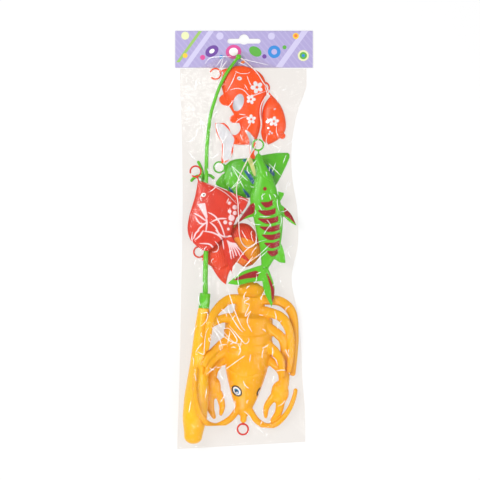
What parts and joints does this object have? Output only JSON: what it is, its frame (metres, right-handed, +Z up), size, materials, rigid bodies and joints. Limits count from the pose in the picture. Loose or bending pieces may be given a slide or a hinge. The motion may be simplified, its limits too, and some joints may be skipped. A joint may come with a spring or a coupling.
{
  "type": "magnetic fishing game",
  "caption": "Toy fishing set flat in a clear hanging bag under a folded header card: a rod with a line and hook, fish of several shapes with nose rings, and a lobster.",
  "frame": {"origin": "middle of the pack's outline on the plane it lies on, under its back film", "axes": "+Y towards the header card, +Z up out of the front of the bag, +X to the right seen from the front"},
  "size_m": [0.1656, 0.504, 0.0379],
  "materials": {
    "card": "coated print",
    "film": "clear blown film",
    "yellow_plastic": "blow moulded gloss",
    "green_rod_plastic": "moulded gloss",
    "line": "thin twisted cord",
    "amber_plastic": "moulded gloss",
    "red_plastic": "moulded gloss",
    "lime_plastic": "moulded gloss",
    "coral_plastic": "moulded gloss",
    "leaf_plastic": "moulded gloss",
    "orange_plastic": "moulded gloss"
  },
  "bodies": {
    "root": {"header_card": "card", "poly_bag": "film", "rod_handle": "yellow_plastic", "rod_collar": "green_rod_plastic", "rod_shaft": "green_rod_plastic", "fishing_line": "line", "line_hook": "green_rod_plastic", "lobster": "amber_plastic", "lobster_ring": "red_plastic", "skeleton_fish": "lime_plastic", "angelfish": "coral_plastic", "tropical_fish": "coral_plastic", "green_fish": "leaf_plastic", "orange_fish_a": "orange_plastic", "orange_fish_b": "orange_plastic"}
  },
  "joints": []
}
